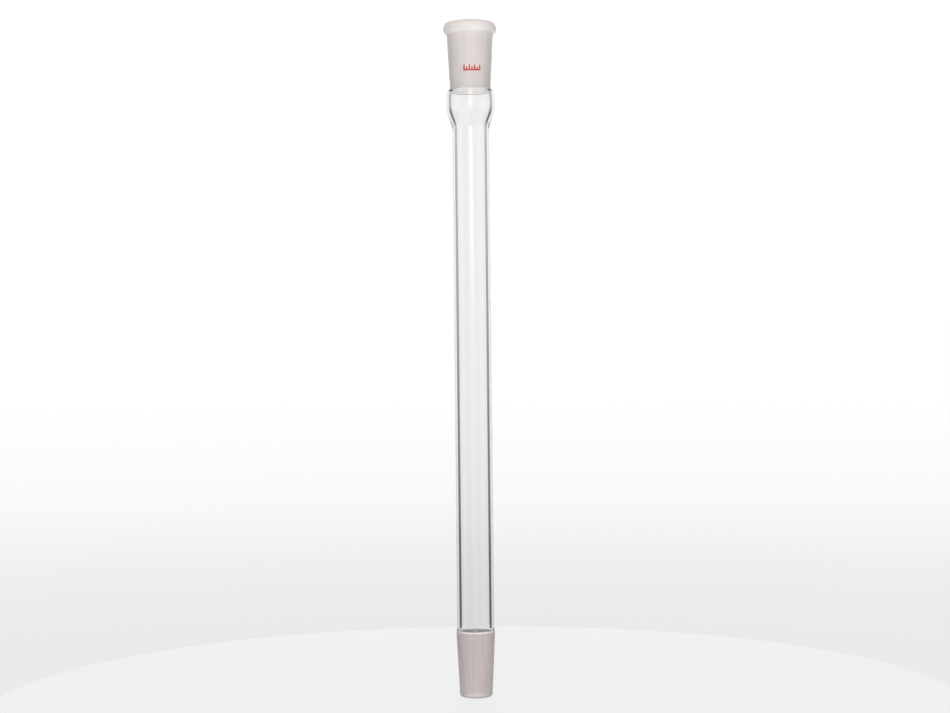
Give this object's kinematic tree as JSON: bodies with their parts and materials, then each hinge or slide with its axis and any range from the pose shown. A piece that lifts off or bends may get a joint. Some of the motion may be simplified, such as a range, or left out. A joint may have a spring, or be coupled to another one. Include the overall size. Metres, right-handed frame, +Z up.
{
  "type": "jointed glass column",
  "caption": "Straight clear glass column with a beaded ground socket and a drip bulb at the top and a ground cone at the bottom.",
  "frame": {"origin": "centre of the cone's lower end, on the column's axis", "axes": "+Z up the axis towards the socket's mouth, -Y towards the side that carries the red scale"},
  "size_m": [0.033, 0.033, 0.4175],
  "materials": {
    "clear_glass": "clear fire-polished borosilicate glass",
    "ground_glass": "fine-ground, translucent and matt",
    "red_enamel": "thin fired-on enamel, satin"
  },
  "bodies": {
    "root": {"socket_joint": "ground_glass", "drip_bulb": "clear_glass", "column_tube": "clear_glass", "cone_joint": "ground_glass", "index_mark": "red_enamel"}
  },
  "joints": []
}
